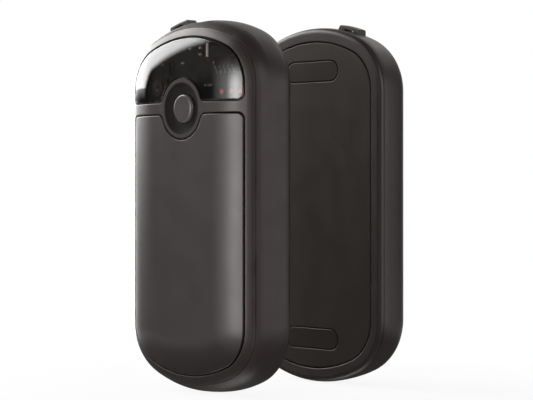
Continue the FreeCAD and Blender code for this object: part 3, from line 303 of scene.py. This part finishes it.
class Finish(Nodes):
    """A surface finish: a node material round one shader."""

    def __init__(self, name, **fixed):
        """fixed gives the shader's values that are the same all over the surface."""
        self.material = bpy.data.materials.new(name)
        self.material.use_nodes = True
        super().__init__(self.material.node_tree)
        self.shader = self.tree.nodes["Principled BSDF"]
        self.output = self.tree.nodes["Material Output"]
        for socket, number in fixed.items():
            self.shader.inputs[socket.replace("_", " ")].default_value = number
        self.at = self.add("ShaderNodeTexCoord").outputs["Object"]
        self.normal = None

    def noise(self, size, detail):
        """Cloudy values from 0 to 1, with spots of a size."""
        inputs = {"Vector": self.at, "Scale": 1 / size, "Detail": detail}
        return self.add("ShaderNodeTexNoise", inputs).outputs["Fac"]

    def mix(self, share, first, second):
        """A colour between two colours."""
        node = self.add("ShaderNodeMix", data_type="RGBA")
        self.give(node.inputs[0], share)
        for index, given in ((6, first), (7, second)):
            self.give(node.inputs[index], given if isinstance(given, bpy.types.NodeSocket) else opaque(given))
        return node.outputs[2]

    def mottled(self, colour, share, size=CLOUD_SIZE):
        """A colour that varies by a share either way, in soft clouds."""
        darker = [part * (1 - share) for part in colour]
        lighter = [part * (1 + share) for part in colour]
        clouds = self.spread(self.noise(size, CLOUD_DETAIL), 0.0, 1.0, *CLOUD_RANGE)
        return self.mix(clouds, darker, lighter)

    def worn_and_highlit(self, colour, share):
        """A colour lightened along its edges, in a broken line: partly rubbed wear and partly a painted edge
        highlight.
        """
        inputs = {"Radius": WORN_HIGHLIT_EDGE_RADIUS}
        turned = self.add("ShaderNodeBevel", inputs, samples=WORN_HIGHLIT_EDGE_SAMPLES).outputs["Normal"]
        straight = self.add("ShaderNodeNewGeometry").outputs["Normal"]
        inputs = {0: turned, 1: straight}
        level = self.add("ShaderNodeVectorMath", inputs, operation="DOT_PRODUCT").outputs["Value"]
        edge = self.spread(level, share, 0.0, *WORN_HIGHLIT_EDGE_COSINES)
        broken = self.spread(self.noise(SMUDGE_SIZE, SMUDGE_DETAIL), *BREAK_SHARES, *BREAK_RANGE)
        return self.mix(self.reckon("MULTIPLY", edge, broken), colour, WORN_HIGHLIT_EDGE_COLOUR)

    def colour(self, given):
        self.give(self.shader.inputs["Base Color"], given)

    def rough(self, ends, size=SMUDGE_SIZE):
        """A roughness that varies in smudges between two values."""
        smudges = self.spread(self.noise(size, SMUDGE_DETAIL), *ends, *CLOUD_RANGE)
        self.give(self.shader.inputs["Roughness"], smudges)

    def linked(self, socket):
        """What one of the shader's sockets has been given so far."""
        return self.shader.inputs[socket].links[0].from_socket

    def bump(self, height, depth):
        """A relief of a height pattern, on top of the reliefs already given."""
        inputs = {"Height": height, "Distance": depth, "Strength": 1.0}
        if self.normal is not None:
            inputs["Normal"] = self.normal
        self.normal = self.add("ShaderNodeBump", inputs).outputs["Normal"]
        self.give(self.shader.inputs["Normal"], self.normal)

    def from_button(self):
        """How far a spot lies from the line through the middles of the buttons."""
        parts = self.add("ShaderNodeSeparateXYZ", {"Vector": self.at}).outputs
        across = self.reckon("POWER", parts["X"], 2.0)
        up = self.reckon("POWER", self.reckon("SUBTRACT", parts["Z"], BUTTON_HEIGHT), 2.0)
        return self.reckon("SQRT", self.reckon("ADD", across, up))

    def show(self, surface):
        self.give(self.output.inputs["Surface"], surface)


def moulded(name, colour, rough, specular, wear_and_highlight=CASE_WEAR_AND_HIGHLIGHT):
    """Fine spark-textured moulded plastic, its edges lightened partly by wear and partly as a painted
    highlight.
    """
    finish = Finish(name, Specular_IOR_Level=specular, Specular_Tint=opaque(GLOSS_TINT))
    finish.colour(finish.worn_and_highlit(finish.mottled(colour, CASE_MOTTLE), wear_and_highlight))
    finish.rough(rough)
    finish.bump(finish.noise(GRAIN_SIZE, GRAIN_DETAIL), GRAIN_DEPTH)
    finish.bump(finish.noise(CLOUD_SIZE, WAVE_DETAIL), GRAIN_DEPTH)
    return finish


def satin(name, colour, rough, specular, coat=0.0):
    """A satin coat: very fine grain and faint rubbing marks, its edges lightened partly by wear and partly as
    a painted highlight.
    """
    gloss = {"Specular_IOR_Level": specular, "Specular_Tint": opaque(GLOSS_TINT)}
    finish = Finish(name, Coat_Weight=coat, Coat_Roughness=COAT_ROUGHNESS, **gloss)
    finish.colour(finish.worn_and_highlit(finish.mottled(colour, SATIN_MOTTLE), CASE_WEAR_AND_HIGHLIGHT))
    finish.rough(rough)
    finish.bump(finish.noise(SATIN_SIZE, GRAIN_DETAIL), SATIN_DEPTH)
    return finish


def metal(name, colour, rough, grain=SATIN_SIZE):
    """Bare metal with brushed and tarnished patches."""
    finish = Finish(name, Metallic=1.0)
    finish.colour(finish.mottled(colour, METAL_MOTTLE, SMUDGE_SIZE))
    finish.rough(rough, SCRATCH_SIZE)
    finish.bump(finish.noise(grain, FLECK_DETAIL), SATIN_DEPTH)
    return finish


def plain(name, colour, rough, grain=GRAIN_SIZE, depth=GRAIN_DEPTH):
    """A grained and mottled finish for a small or inner piece."""
    finish = Finish(name, Specular_IOR_Level=PLAIN_SPECULAR)
    finish.colour(finish.mottled(colour, PLAIN_MOTTLE, SMUDGE_SIZE))
    finish.rough(rough)
    finish.bump(finish.noise(grain, FLECK_DETAIL), depth)
    return finish


def button_face(rough, specular):
    """The button's satin face, with a painted highlight along its rounded rim."""
    finish = satin("button_face", BUTTON_COLOUR, rough, specular)
    # Painted highlight on the rounded rim
    rim = finish.spread(finish.from_button(), 0.0, 1.0, *BUTTON_RIM_HIGHLIGHT_RADII)
    finish.colour(finish.mix(rim, finish.linked("Base Color"), BUTTON_RIM_HIGHLIGHT_COLOUR))
    return finish


def bezel_plastic(rough, specular):
    """The case's plastic, duller on the ring round the button and darker in the dish, both darkened as
    painted shade.
    """
    finish = moulded("bezel_plastic", CASE_COLOUR, rough, specular)
    reach = finish.from_button()
    for radius, colour, roughness in DULL_SHADED_ZONES:
        inside = finish.spread(reach, 1.0, 0.0, radius - ZONE_EDGE, radius)
        # Painted shade darkens the ring and the dish
        finish.colour(finish.mix(inside, finish.linked("Base Color"), colour))
        dulled = finish.between(inside, finish.linked("Roughness"), roughness)
        finish.give(finish.shader.inputs["Roughness"], dulled)
    return finish


def smoked_lens():
    """Smoked clear plastic, which lets a tinted part of the light through to the parts behind it."""
    finish = Finish("smoked_lens", IOR=LENS_IOR, Transmission_Weight=1.0)
    finish.colour(finish.mottled(LENS_TINT, LENS_MOTTLE))
    finish.rough(LENS_ROUGHNESS, CLOUD_SIZE)
    finish.bump(finish.noise(CLOUD_SIZE, WAVE_DETAIL), SATIN_DEPTH)
    inner = finish.add("ShaderNodeNewGeometry").outputs["Backfacing"]
    half_tint = [math.sqrt(part) for part in LENS_TINT]
    inputs = {"Color": opaque(half_tint), "IOR": LENS_IOR, "Roughness": 0.0}
    bent = finish.add("ShaderNodeBsdfRefraction", inputs).outputs[0]
    inputs = {0: inner, 1: finish.shader.outputs[0], 2: bent}
    body = finish.add("ShaderNodeMixShader", inputs).outputs[0]
    clear = finish.add("ShaderNodeBsdfTransparent", {"Color": opaque(LENS_TINT)}).outputs[0]
    inputs = {0: finish.rays("Is Shadow Ray"), 1: body, 2: clear}
    finish.show(finish.add("ShaderNodeMixShader", inputs).outputs[0])
    return finish


def circuit_board():
    """Dark solder mask over faint tracks, with small bright test pads."""
    finish = Finish("circuit_board", Specular_IOR_Level=BOARD_SPECULAR)
    inputs = {"Vector": finish.at, "Rotation": (math.pi / 2, 0, 0)}
    turned = finish.add("ShaderNodeMapping", inputs).outputs["Vector"]
    inputs = {"Vector": turned, "Scale": TRACK_SCALE, "Mortar Size": TRACK_BREADTH,
              "Color1": opaque(BLACK), "Color2": opaque(BLACK), "Mortar": opaque(WHITE)}
    tracks = finish.add("ShaderNodeTexBrick", inputs).outputs["Color"]
    inputs = {"Vector": finish.at, "Scale": TRACK_SCALE}
    spots = finish.add("ShaderNodeTexVoronoi", inputs).outputs["Distance"]
    pads = finish.spread(spots, TEST_PAD_SHARE, 0.0, *TEST_PAD_DISTANCES)
    finish.colour(finish.mix(pads, finish.mix(tracks, MASK_COLOUR, TRACE_COLOUR), GOLD_COLOUR))
    finish.rough(BOARD_ROUGHNESS, SCRATCH_SIZE)
    finish.bump(tracks, GRAIN_DEPTH)
    return finish


def glowing(name, core, rim, strength):
    """A small lit lens, whose colour turns from its core to its rim."""
    finish = Finish(name, Emission_Strength=strength)
    edge = finish.add("ShaderNodeLayerWeight", {"Blend": LIGHT_BLEND}).outputs["Facing"]
    cloudy = finish.spread(finish.noise(SCRATCH_SIZE, GRAIN_DETAIL), -LIGHT_CLOUD, LIGHT_CLOUD)
    tone = finish.mix(finish.reckon("ADD", edge, cloudy), core, rim)
    finish.give(finish.shader.inputs["Emission Color"], tone)
    finish.colour(finish.mottled(rim, LIGHT_MOTTLE, SCRATCH_SIZE))
    finish.rough(LIGHT_ROUGHNESS, SCRATCH_SIZE)
    finish.bump(finish.noise(SCRATCH_SIZE, GRAIN_DETAIL), SATIN_DEPTH)
    return finish


FINISHES = {
    "shell": moulded("case_plastic", CASE_COLOUR, rough=(0.38, 0.48), specular=0.37),
    "rear_frame": moulded("rim_plastic", CASE_COLOUR, rough=(0.36, 0.46), specular=0.48),
    "front_bezel": bezel_plastic(rough=(0.32, 0.42), specular=0.40),
    "back_plate": satin("back_panel", BACK_COLOUR, rough=(0.40, 0.50), specular=0.35),
    "magnet_covers": satin("inset_panel", INSET_COLOUR, rough=(0.38, 0.46), specular=0.29),
    "magnets": metal("magnet_nickel", STEEL_COLOUR, rough=(0.20, 0.32)),
    "front_plate": satin("heat_panel", PANEL_COLOUR, rough=(0.40, 0.47), specular=0.38, coat=0.29),
    "window": smoked_lens(),
    "button_cap": button_face(rough=(0.20, 0.27), specular=0.66),
    "switch_plunger": plain("plunger_plastic", NYLON_COLOUR, rough=(0.4, 0.5)),
    "tact_switch": metal("switch_case", STEEL_COLOUR, rough=(0.30, 0.42)),
    "main_board": circuit_board(),
    "board_chips": plain("chip_resin", CHIP_COLOUR, rough=(0.40, 0.55)),
    "board_passives": plain("ceramic", CERAMIC_COLOUR, rough=(0.4, 0.5)),
    "status_leds": glowing("red_light", WARM_LIGHT, RED_LIGHT, strength=0.16),
    "light_bar": glowing("white_light", WHITE_LIGHT, WHITE_LIGHT, strength=0.21),
    "usb_shell": metal("socket_steel", BLACKENED_COLOUR, rough=(0.30, 0.44)),
    "usb_tongue": plain("tongue_plastic", TONGUE_COLOUR, rough=(0.4, 0.5)),
    "battery_cell": metal("cell_foil", FOIL_COLOUR, rough=(0.35, 0.50), grain=SMUDGE_SIZE),
    "battery_leads": plain("lead_red", RED_WIRE, rough=(0.4, 0.5)),
    "front_heater_leads": plain("lead_pale", PALE_WIRE, rough=(0.4, 0.5)),
    "rear_heater_leads": plain("lead_dark", DARK_WIRE, rough=(0.4, 0.5)),
    "front_pad": plain("front_foam", FOAM_COLOUR, rough=(0.80, 0.95), grain=FOAM_SIZE, depth=FOAM_SIZE),
    "rear_pad": plain("rear_foam", FOAM_COLOUR, rough=(0.80, 0.95), grain=FOAM_SIZE, depth=FOAM_SIZE),
    "front_heater": plain("front_film", FILM_COLOUR, rough=(0.3, 0.4)),
    "rear_heater": plain("rear_film", FILM_COLOUR, rough=(0.3, 0.4)),
    "thermistor": plain("sensor_bead", BEAD_COLOUR, rough=(0.3, 0.4)),
    "chassis": moulded("chassis_plastic", CHASSIS_COLOUR, rough=(0.5, 0.6), specular=0.5, wear_and_highlight=CHASSIS_WEAR_AND_HIGHLIGHT),
    "case_screws": metal("screw_steel", STEEL_COLOUR, rough=(0.25, 0.40)),
    "board_screws": metal("board_screw_steel", STEEL_COLOUR, rough=(0.25, 0.40)),
}
TIN = metal("tinned_ends", TIN_COLOUR, rough=(0.28, 0.42))
GOLD = metal("gold_fingers", GOLD_COLOUR, rough=(0.22, 0.34))
COPPER = metal("copper_winding", COPPER_COLOUR, rough=(0.25, 0.38))
FERRITE = plain("ferrite", FERRITE_COLOUR, rough=(0.50, 0.65))
LEAD = metal("lead_tin", LEAD_COLOUR, rough=(0.40, 0.55))
PACKAGE = plain("light_package", PACKAGE_COLOUR, rough=(0.45, 0.55))
PRINT = plain("print_dot", CERAMIC_COLOUR, rough=(0.5, 0.6))


def dress_nodes():
    """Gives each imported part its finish."""
    for side in SIDES:
        for name, finish in FINISHES.items():
            mesh = NODES[f"{side}_{name}"].data
            mesh.materials.clear()
            mesh.materials.append(finish.material)


def solid_boxes(node):
    """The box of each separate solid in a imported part, sorted from -X to +X."""
    form = bmesh.new()
    form.from_mesh(NODES[node].data)
    bmesh.ops.remove_doubles(form, verts=form.verts, dist=MERGE_REACH)
    waiting = dict.fromkeys(form.verts)
    boxes = []
    while waiting:
        solid = [next(iter(waiting))]
        del waiting[solid[0]]
        for corner in solid:
            for edge in corner.link_edges:
                other = edge.other_vert(corner)
                if other in waiting:
                    del waiting[other]
                    solid.append(other)
        places = [corner.co for corner in solid]
        low = Vector([min(place[axis] for place in places) for axis in range(3)])
        high = Vector([max(place[axis] for place in places) for axis in range(3)])
        boxes.append((low, high))
    form.free()
    return sorted(boxes, key=lambda box: (round(box[0].x, SORT_DIGITS), round(box[0].z, SORT_DIGITS)))


class Model:
    """A piece built up from rounded blocks, bent strips and turned forms on the left unit."""

    def __init__(self):
        self.form = bmesh.new()
        self.finishes = []

    def paint(self, finish, smooth=False):
        """Finishes the faces added last. Until the piece is placed, 0 marks a face that has no finish."""
        if finish not in self.finishes:
            self.finishes.append(finish)
        for face in self.form.faces:
            if face.material_index == 0:
                face.material_index = self.finishes.index(finish) + 1
                face.smooth = smooth

    def block(self, low, high, rounding, finish):
        """A block with rounded edges."""
        place = Matrix.Translation((low + high) / 2) @ Matrix.Diagonal((*(high - low), 1.0))
        corners = bmesh.ops.create_cube(self.form, size=1.0, matrix=place)["verts"]
        edges = list(dict.fromkeys(edge for corner in corners for edge in corner.link_edges))
        shape = dict(segments=ROUNDING_STEPS, profile=ROUND_PROFILE, affect="EDGES")
        bmesh.ops.bevel(self.form, geom=edges, offset=rounding, **shape)
        self.paint(finish)

    def strip(self, path, thickness, start, end, finish):
        """A flat strip from start to end along X, bent along a path of places (y, z)."""
        path = [Vector(place) for place in path]
        ways = [(after - before).normalized() for before, after in zip(path, path[1:])]
        rails = [[], [], [], []]
        for index, place in enumerate(path):
            way = (ways[max(index - 1, 0)] + ways[min(index, len(ways) - 1)]).normalized()
            lifted = place + Vector((way.y, -way.x)) * thickness
            for rail, x, spot in zip(rails, (start, end, end, start), (place, place, lifted, lifted)):
                rail.append(self.form.verts.new((x, spot.x, spot.y)))
        for index in range(len(path) - 1):
            for first, second in zip(rails, rails[1:] + rails[:1]):
                self.form.faces.new((first[index], second[index], second[index + 1], first[index + 1]))
        for index in (0, -1):
            self.form.faces.new([rail[index] for rail in rails])
        self.paint(finish)

    def turned(self, centre, outline, finish):
        """A form turned about an axis along Y, with an outline of radii and heights off the board."""
        rings = []
        for radius, height in outline:
            ring = []
            for corner in range(TURNED_CORNERS if radius else 1):
                angle = math.tau * corner / TURNED_CORNERS
                around = Vector((math.cos(angle) * radius, -height, math.sin(angle) * radius))
                ring.append(self.form.verts.new(centre + around))
            rings.append(ring)
        for first, second in zip(rings, rings[1:]):
            for corner in range(TURNED_CORNERS):
                after = (corner + 1) % TURNED_CORNERS
                if len(second) == 1:
                    self.form.faces.new((first[corner], first[after], second[0]))
                else:
                    self.form.faces.new((first[corner], first[after], second[after], second[corner]))
        self.paint(finish, smooth=True)

    def place(self, name, slot, *replaced):
        """Sets the piece on the left unit, and its copy, turned half round, on the right one."""
        for face in self.form.faces:
            face.material_index -= 1
        bmesh.ops.recalc_face_normals(self.form, faces=self.form.faces)
        for side in SIDES:
            mesh = bpy.data.meshes.new(f"{side}_{name}")
            self.form.to_mesh(mesh)
            if side == "right":
                mesh.transform(HALF_TURN)
            for finish in self.finishes:
                mesh.materials.append(finish.material)
            piece = bpy.data.objects.new(mesh.name, mesh)
            bpy.context.scene.collection.objects.link(piece)
            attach(piece, f"{side}_unit")
            for node in replaced:
                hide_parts(f"{side}_{node}")
        self.form.free()


def outline_in(low, high, shares):
    """A turned outline inside a box on the board, from its shares."""
    half = (high.x - low.x) / 2
    return [(half * across, (high.y - low.y) * up) for across, up in shares]


def on_board(low, high):
    """The middle of a box's foot on the board."""
    return Vector(((low.x + high.x) / 2, high.y, (low.z + high.z) / 2))


def packaged_chip(low, high, dot_height):
    """A chip's dark body, just clear of the board, with a printed dot by one corner."""
    model = Model()
    foot = Vector((high.x, high.y - CHIP_LIFT, high.z))
    model.block(low, foot, CHIP_ROUNDING, FINISHES["board_chips"])
    dot = Vector((low.x + DOT_INSET, low.y, dot_height))
    model.turned(dot, ((DOT_RADIUS, 0.0), (DOT_RADIUS, DOT_HEIGHT), (0.0, DOT_HEIGHT)), PRINT)
    return model


def make_controller(low, high, leads):
    """A chip with bent leads along its foot."""
    model = packaged_chip(low, high, low.z + DOT_INSET)
    height = high.y - low.y
    for lead_low, lead_high in leads:
        length = lead_high.z - lead_low.z
        path = [(high.y - height * up, lead_high.z - length * out) for out, up in LEAD_SHARES]
        model.strip(path, height * LEAD_THICKNESS_SHARE, lead_low.x, lead_high.x, LEAD)
    model.place("controller", "chip", "board_chips")


def make_charger(low, high):
    """A square chip with pads along its four edges."""
    model = packaged_chip(low, high, high.z - DOT_INSET)
    middle = on_board(low, high)
    for count in range(PAD_COUNT):
        along = (count - (PAD_COUNT - 1) / 2) * PAD_PITCH
        for sign in (-1, 1):
            for spot in ((sign * (high.x - middle.x), along), (along, sign * (high.z - middle.z))):
                pad = middle + Vector((spot[0], -PAD_HEIGHT / 2, spot[1]))
                half = Vector((PAD_BREADTH / 2, PAD_HEIGHT / 2, PAD_BREADTH / 2))
                half[0 if spot[1] == along else 2] = PAD_REACH
                model.block(pad - half, pad + half, LEAD_ROUNDING, TIN)
    model.place("charger", "chip", "board_chips")


def make_coil(low, high):
    """A copper winding between a square base and a round flange."""
    model = Model()
    base = Vector((low.x, high.y - (high.y - low.y) * COIL_BASE_SHARE, low.z))
    model.block(base, high, CHIP_ROUNDING, FERRITE)
    model.turned(on_board(low, high), outline_in(low, high, WINDING_SHARES), COPPER)
    model.turned(on_board(low, high), outline_in(low, high, FLANGE_SHARES), FERRITE)
    model.place("coil", "chip", "board_chips")


def make_chips():
    """The controller, the charger and the power coil. The coil and the charger lie nearest to -X."""
    coil, charger, *others = solid_boxes("left_board_chips")
    leads = [box for box in others if box[1].z - box[0].z > box[1].x - box[0].x]
    controller = [box for box in others if box not in leads][0]
    make_controller(*controller, leads)
    make_charger(*charger)
    make_coil(*coil)


def make_passives():
    """Small ceramic parts with tinned ends."""
    model = Model()
    proud = Vector((TERMINAL_PROUD, TERMINAL_PROUD, TERMINAL_PROUD))
    for low, high in solid_boxes("left_board_passives"):
        reach = (high.x - low.x) * TERMINAL_SHARE
        model.block(low + proud, high - proud, LEAD_ROUNDING, FINISHES["board_passives"])
        model.block(low, Vector((low.x + reach, high.y, high.z)), LEAD_ROUNDING, TIN)
        model.block(Vector((high.x - reach, low.y, low.z)), high, LEAD_ROUNDING, TIN)
    model.place("passive_set", "pale_chip", "board_passives")


def make_status_lights():
    """Square packages, each with a lit dome."""
    model = Model()
    for low, high in solid_boxes("left_status_leds"):
        foot = Vector((low.x, high.y - (high.y - low.y) * PACKAGE_SHARE, low.z))
        model.block(foot, high, CHIP_ROUNDING, PACKAGE)
        model.turned(on_board(low, high), outline_in(low, high, DOME_SHARES), FINISHES["status_leds"])
    model.place("status_light_set", "red_light", "status_leds")


def make_socket_fingers():
    """Contact fingers on both faces of the charging socket's tongue."""
    model = Model()
    low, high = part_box("left_usb_tongue")
    foot, tip = (low.z + (high.z - low.z) * share for share in FINGER_SHARES)
    for face in (low.y, high.y):
        for count in range(FINGER_COUNT):
            x = (low.x + high.x) / 2 + (count - (FINGER_COUNT - 1) / 2) * FINGER_PITCH
            start = Vector((x - FINGER_BREADTH / 2, face - FINGER_PROUD, foot))
            end = Vector((x + FINGER_BREADTH / 2, face + FINGER_PROUD, tip))
            model.block(start, end, LEAD_ROUNDING, GOLD)
    model.place("socket_fingers", "socket_metal")


def make_world():
    """Even grey light. The eye meets white, and a mirror a white backdrop in an otherwise dim studio."""
    world = bpy.data.worlds.new("studio")
    world.use_nodes = True
    bpy.context.scene.world = world
    nodes = Nodes(world.node_tree)
    way = nodes.add("ShaderNodeTexCoord").outputs["Generated"]
    turn = math.radians(CAMERA_TURN)
    inputs = {0: way, 1: (-math.sin(turn), math.cos(turn), 0.0)}
    ahead = nodes.add("ShaderNodeVectorMath", inputs, operation="DOT_PRODUCT").outputs["Value"]
    backdrop = nodes.spread(ahead, DIM_GLOW, WHITE_GLOW, *BACKDROP_COSINES, ramp="SMOOTHSTEP")
    mirrored = nodes.between(nodes.rays("Is Glossy Ray"), FILL_GLOW, backdrop)
    seen = nodes.between(nodes.rays("Is Camera Ray", "Is Transmission Ray"), mirrored, WHITE_GLOW)
    background = world.node_tree.nodes["Background"]
    background.inputs["Color"].default_value = opaque(WHITE)
    nodes.give(background.inputs["Strength"], seen)


def make_floor():
    """A plain pale floor under the pair, white where no shadow falls; in a mirror it shows a painted shadow
    under the pair.
    """
    form = bmesh.new()
    bmesh.ops.create_circle(form, cap_ends=True, segments=FLOOR_CORNERS, radius=FLOOR_RADIUS)
    mesh = bpy.data.meshes.new("floor")
    form.to_mesh(mesh)
    form.free()
    floor = bpy.data.objects.new("floor", mesh)
    floor.location = (MIDDLE.x, MIDDLE.y, CAD_BOX[0].z)
    bpy.context.scene.collection.objects.link(floor)
    finish = Finish("floor", Specular_IOR_Level=0.0, Roughness=FLOOR_ROUGHNESS)
    finish.colour(finish.mottled(FLOOR_COLOUR, FLOOR_MOTTLE, FLOOR_RADIUS))
    reach = finish.add("ShaderNodeVectorMath", {0: finish.at}, operation="LENGTH").outputs["Value"]
    share = finish.spread(reach, FLOOR_GLOW_SHARE, 1.0, *FLOOR_ZONE, ramp="SMOOTHSTEP")
    seen = finish.reckon("MULTIPLY", finish.rays("Is Camera Ray", "Is Transmission Ray"), share)
    mirrored = finish.rays("Is Glossy Ray")
    # A painted shadow: the floor's image in a mirror is dimmed under the pair
    painted_shadow = finish.spread(reach, FLOOR_MIRROR_SHADOW_GLOW, WHITE_GLOW, *FLOOR_ZONE, ramp="SMOOTHSTEP")
    strength = finish.between(mirrored, WHITE_GLOW, painted_shadow)
    glow = finish.add("ShaderNodeEmission", {"Color": opaque(WHITE), "Strength": strength}).outputs[0]
    inputs = {0: finish.reckon("MAXIMUM", seen, mirrored), 1: finish.shader.outputs[0], 2: glow}
    finish.show(finish.add("ShaderNodeMixShader", inputs).outputs[0])
    mesh.materials.append(finish.material)
    return floor


def make_lamp(name, turn, rise, distance, width, height, soft, glow, lean=0.0):
    """A soft lamp with faded edges, as the table of lamps gives it."""
    lamp = bpy.data.lights.new(name, "AREA")
    lamp.shape = "RECTANGLE"
    lamp.size = width + abs(lean) * height
    lamp.size_y = height
    lamp.energy = glow * math.pi * lamp.size * lamp.size_y
    lamp.use_nodes = True
    nodes = Nodes(lamp.node_tree)
    place = nodes.add("ShaderNodeNewGeometry").outputs["Parametric"]
    parts = nodes.add("ShaderNodeSeparateXYZ", {"Vector": place}).outputs
    across = nodes.reckon("MULTIPLY", nodes.reckon("SUBTRACT", parts["X"], 0.5), lamp.size)
    up = nodes.reckon("MULTIPLY", nodes.reckon("SUBTRACT", parts["Y"], 0.5), height)
    across = nodes.reckon("SUBTRACT", across, nodes.reckon("MULTIPLY", up, lean))
    shares = []
    for reach, half, faded in ((across, width / 2, soft[0]), (up, height / 2, soft[1])):
        off = nodes.reckon("ABSOLUTE", reach)
        shares.append(nodes.spread(off, 1.0, 0.0, half - faded, half, ramp="SMOOTHSTEP"))
    nodes.give(lamp.node_tree.nodes["Emission"].inputs["Strength"], nodes.reckon("MULTIPLY", *shares))
    holder = bpy.data.objects.new(name, lamp)
    turn, rise = math.radians(turn), math.radians(rise)
    way = Vector((math.sin(turn), -math.cos(turn), math.tan(rise)))
    holder.location = MIDDLE + way.normalized() * distance
    holder.rotation_euler = way.to_track_quat("Z", "Y").to_euler()
    holder.visible_camera = False
    bpy.context.scene.collection.objects.link(holder)
    return holder


def shine_through(lamp, sheet):
    """Lets a lamp shine through a sheet as if it were clear."""
    passed = bpy.data.collections.new(f"{lamp.name}_passes")
    passed.objects.link(sheet)
    passed.collection_objects[0].light_linking.link_state = "EXCLUDE"
    lamp.light_linking.blocker_collection = passed


def make_camera():
    lens = bpy.data.cameras.new("photo_camera")
    lens.sensor_fit = "HORIZONTAL"
    lens.sensor_width = CAMERA_SENSOR
    lens.lens = CAMERA_LENS
    lens.shift_y = CAMERA_SHIFT_SHARE
    lens.clip_start = CAMERA_NEAR
    holder = bpy.data.objects.new("photo_camera", lens)
    holder.location = CAMERA_SPOT
    holder.rotation_euler = (math.pi / 2, 0.0, math.radians(CAMERA_TURN))
    bpy.context.scene.collection.objects.link(holder)
    bpy.context.scene.camera = holder


dress_nodes()
make_chips()
make_passives()
make_status_lights()
make_socket_fingers()
make_world()
stage_floor = make_floor()
lamps = {name: make_lamp(name, **facts) for name, facts in LAMPS.items()}
shine_through(lamps["table"], stage_floor)
make_camera()
bpy.context.scene.view_settings.view_transform = "Standard"
